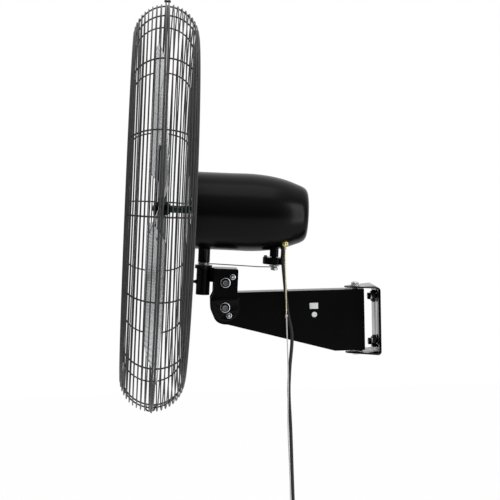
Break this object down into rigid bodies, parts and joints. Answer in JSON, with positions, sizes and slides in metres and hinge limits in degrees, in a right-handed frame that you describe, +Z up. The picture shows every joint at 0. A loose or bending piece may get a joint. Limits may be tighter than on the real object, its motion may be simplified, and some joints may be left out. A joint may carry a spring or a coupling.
{
  "type": "wall mounted fan",
  "caption": "Large black wall mounted oscillating fan with a round wire guard, paddle blades, bullet-shaped motor, swivelling tilting arm, pull chain and power cord.",
  "frame": {"origin": "centre of the wall bracket's back face, on the wall", "axes": "+X into the wall, +Z up, the fan blows towards -X"},
  "size_m": [0.524, 0.8124, 1.3263],
  "materials": {
    "black_paint": "satin",
    "black_wire": "gloss",
    "zinc": "bright zinc",
    "steel": "machined",
    "aluminium": "mill",
    "brass": "polished",
    "nickel": "nickel",
    "rubber": "matte",
    "green_sleeve": "matte",
    "copper": "varnished copper",
    "paper": "blank label",
    "string": "braided",
    "plastic": "matte"
  },
  "bodies": {
    "bracket": {"wall_bracket": "black_paint", "rubber_pad_upper": "rubber", "rubber_pad_lower": "rubber", "wall_washer_upper": "zinc", "wall_washer_lower": "zinc", "wall_bolt_upper": "black_paint", "wall_bolt_lower": "black_paint", "swivel_bolt": "zinc", "swivel_nut": "zinc", "swivel_washer": "zinc"},
    "arm": {"arm": "black_paint", "label_plate": "paper", "tilt_lock_bolt": "zinc"},
    "neck": {"cheek_near": "black_paint", "cheek_far": "black_paint", "tilt_bolt": "zinc", "tilt_nut": "zinc", "neck_bracket": "black_paint", "link_bolt": "zinc", "link_nut": "zinc", "link_lock_bolt": "zinc", "neck_bush": "brass", "thrust_washer": "zinc", "neck_lock_screw": "black_paint"},
    "head": {"yoke_post": "black_paint", "front_bell": "black_paint", "motor_housing": "black_paint", "rear_end_shield": "aluminium", "rear_cover": "black_paint", "stator": "copper", "front_bearing": "steel", "rear_bearing": "steel", "gear_post": "black_paint", "guard_front_face": "black_wire", "guard_front_side": "black_wire", "guard_rear_face": "black_wire", "guard_rear_side": "black_wire", "guard_clip_top": "black_wire", "guard_clip_bottom": "black_wire", "chain_nipple": "brass", "pull_switch": "plastic", "strain_relief": "rubber", "power_cord": "rubber", "cord_hank": "rubber", "hank_tie": "rubber", "plug": "rubber"},
    "rotor": {"shaft": "steel", "rotor_core": "steel", "shaft_sleeve": "green_sleeve", "fan_hub": "black_paint", "blade_1": "aluminium", "blade_2": "aluminium", "blade_3": "aluminium"},
    "idler": {"idler_spindle": "brass"},
    "crank": {"crank": "black_paint", "crank_pin": "zinc"},
    "rod": {"link_rod": "steel"},
    "pull": {"ball_chain": "nickel", "pull_string": "string", "end_knob": "brass"}
  },
  "joints": [
    {"name": "arm_swivel", "type": "hinge", "parent": "bracket", "child": "arm", "pos_m": [-0.044, 0, 0], "axis": [0, 0, 1], "range_deg": [-30, 30]},
    {"name": "head_tilt", "type": "hinge", "parent": "arm", "child": "neck", "pos_m": [-0.3095, 0, 0.033], "axis": [0, 1, 0], "range_deg": [-30, 15]},
    {"name": "head_oscillation", "type": "hinge", "parent": "neck", "child": "head", "pos_m": [-0.3495, 0, 0.117], "axis": [0.068, 0, 0.9977], "range_deg": [-42, 42], "deforming": ["power_cord", "ball_chain", "pull_string"]},
    {"name": "rotor_spin", "type": "hinge", "parent": "head", "child": "rotor", "pos_m": [-0.34196, 0, 0.22754], "axis": [0.9977, 0, -0.068], "continuous": true},
    {"name": "idler_spin", "type": "hinge", "parent": "head", "child": "idler", "pos_m": [-0.20883, 0.022, 0.10741], "axis": [0.068, 0, 0.9977], "continuous": true},
    {"name": "crank_turn", "type": "hinge", "parent": "head", "child": "crank", "pos_m": [-0.20883, 0, 0.10741], "axis": [0.068, 0, 0.9977], "range_deg": [-70, 70]},
    {"name": "rod_pivot", "type": "hinge", "parent": "crank", "child": "rod", "pos_m": [-0.20883, -0.0165, 0.10741], "axis": [0.068, 0, 0.9977], "range_deg": [-70, 70]},
    {"name": "chain_pull", "type": "slide", "parent": "head", "child": "pull", "axis": [0, 0, -1], "range_m": [0, 0.008], "stiffness_N_per_m": 400, "springref_m": -0.001}
  ],
  "couplings": [
    {"joint": "idler_spin", "follows": "rotor_spin", "ratio": 0.05},
    {"joint": "crank_turn", "follows": "head_oscillation", "ratio": -1.6},
    {"joint": "rod_pivot", "follows": "head_oscillation", "ratio": 1.6}
  ]
}
